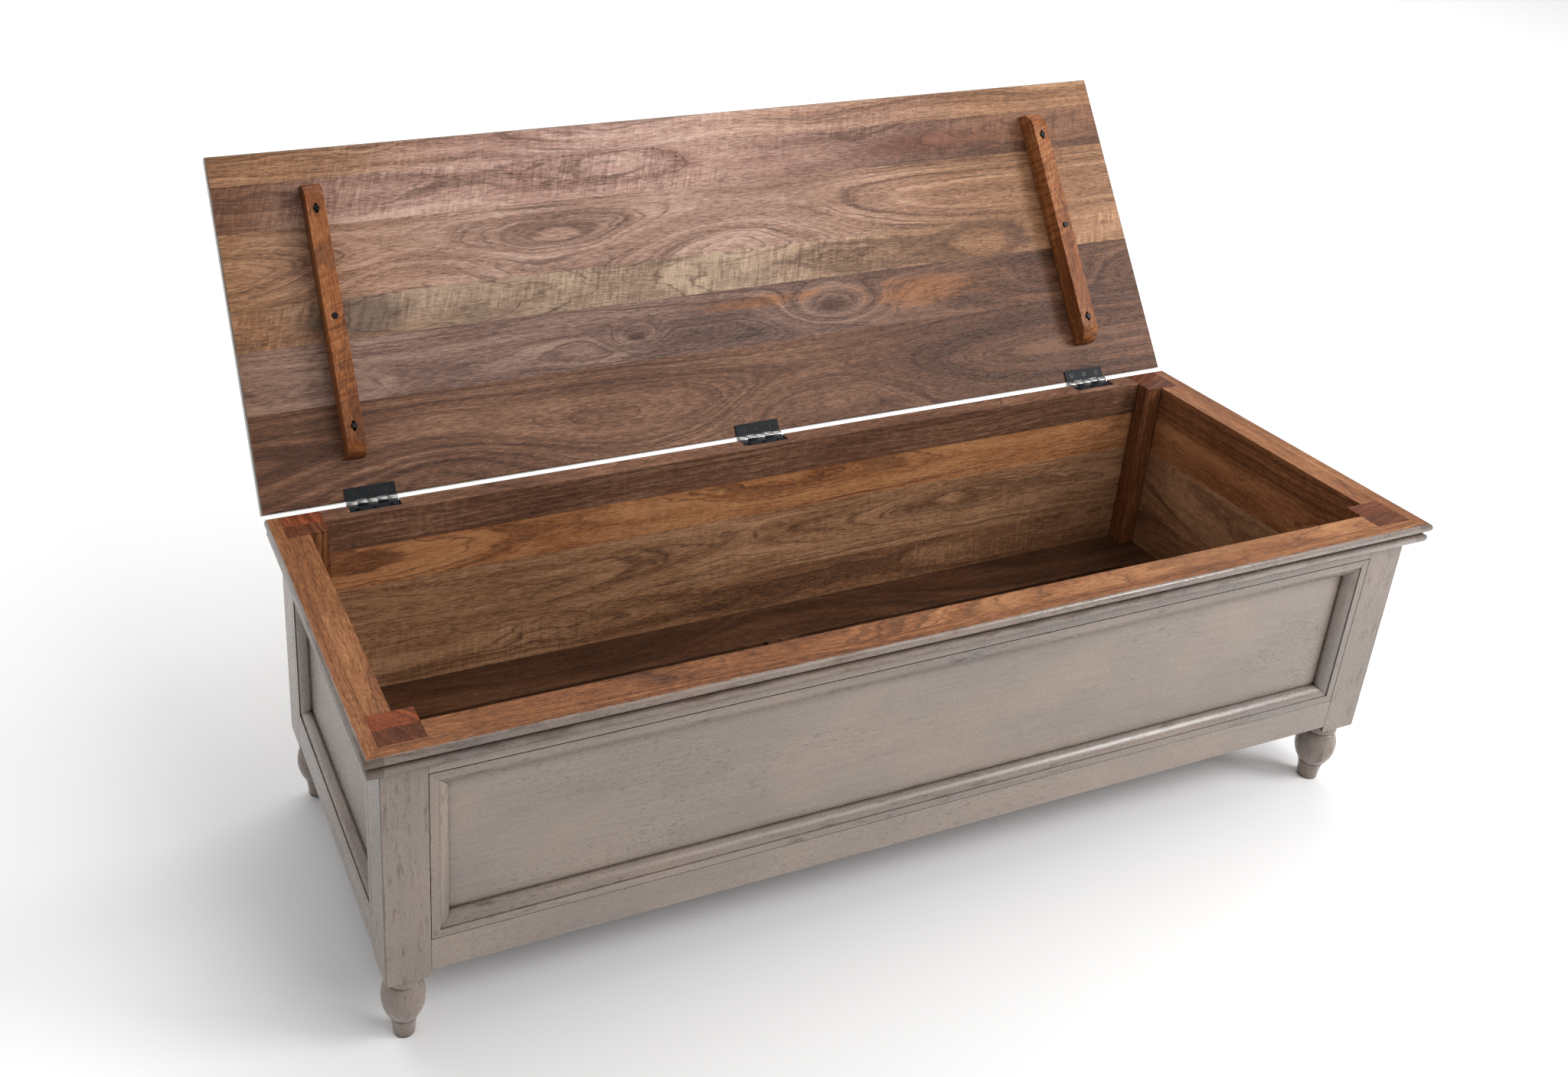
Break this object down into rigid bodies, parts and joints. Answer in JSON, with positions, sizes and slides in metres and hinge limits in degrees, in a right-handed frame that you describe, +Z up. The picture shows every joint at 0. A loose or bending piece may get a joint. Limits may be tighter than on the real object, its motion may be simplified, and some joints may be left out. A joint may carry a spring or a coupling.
{
  "type": "toy box",
  "caption": "Low frame-and-panel wooden toy box on turned feet, painted outside and bare wood inside, with a hinged plank lid standing open.",
  "frame": {"origin": "on the floor, in the middle of the length and of the whole depth with the lid open", "axes": "+X along the length towards the right end seen from the front, +Y from front to back, +Z up"},
  "size_m": [1.3, 0.7346, 0.7496],
  "materials": {
    "painted_wood": "worn grey-taupe paint with dark glaze in the grooves; bare wood on the top rim and inside",
    "natural_wood": "oiled brown hardwood, satin",
    "lid_wood": "oiled figured hardwood underside, painted top and edges",
    "black_metal": "black, worn bright on the knuckles",
    "bright_steel": "plain steel",
    "dark_screws": "black, slightly shiny"
  },
  "bodies": {
    "chest": {"bottom_rail_back": "painted_wood", "bottom_rail_front": "painted_wood", "bottom_rail_left": "painted_wood", "bottom_rail_right": "painted_wood", "cap_moulding_front": "painted_wood", "cap_moulding_left": "painted_wood", "cap_moulding_right": "painted_wood", "floor_cleat_back": "natural_wood", "floor_cleat_front": "natural_wood", "floor_panel_left": "natural_wood", "floor_panel_right": "natural_wood", "floor_rail_back": "natural_wood", "floor_rail_centre": "natural_wood", "floor_rail_front": "natural_wood", "floor_rail_left": "natural_wood", "floor_rail_right": "natural_wood", "foot_back_left": "painted_wood", "foot_back_right": "painted_wood", "foot_front_left": "painted_wood", "foot_front_right": "painted_wood", "hinge_leaf_lower_left": "black_metal", "hinge_leaf_lower_middle": "black_metal", "hinge_leaf_lower_right": "black_metal", "hinge_pin_left": "bright_steel", "hinge_pin_middle": "bright_steel", "hinge_pin_right": "bright_steel", "hinge_screws_lower": "dark_screws", "panel_back": "painted_wood", "panel_front": "painted_wood", "panel_left": "painted_wood", "panel_moulding_front_bottom": "painted_wood", "panel_moulding_front_left": "painted_wood", "panel_moulding_front_right": "painted_wood", "panel_moulding_front_top": "painted_wood", "panel_moulding_left": "painted_wood", "panel_moulding_right": "painted_wood", "panel_right": "painted_wood", "post_back_left": "painted_wood", "post_back_right": "painted_wood", "post_front_left": "painted_wood", "post_front_right": "painted_wood", "top_rail_back": "painted_wood", "top_rail_front": "painted_wood", "top_rail_left": "painted_wood", "top_rail_right": "painted_wood"},
    "lid": {"batten_screws": "dark_screws", "hinge_leaf_upper_left": "black_metal", "hinge_leaf_upper_middle": "black_metal", "hinge_leaf_upper_right": "black_metal", "hinge_screws_upper": "dark_screws", "lid_batten_left": "natural_wood", "lid_batten_right": "natural_wood", "lid_board_1": "lid_wood", "lid_board_2": "lid_wood", "lid_board_3": "lid_wood", "lid_board_4": "lid_wood", "lid_board_5": "lid_wood", "lid_board_6": "lid_wood"}
  },
  "joints": [
    {"name": "lid_hinge", "type": "hinge", "parent": "chest", "child": "lid", "pos_m": [0, 0.09573, 0.3872], "axis": [1, 0, 0], "range_deg": [0, 125]}
  ]
}
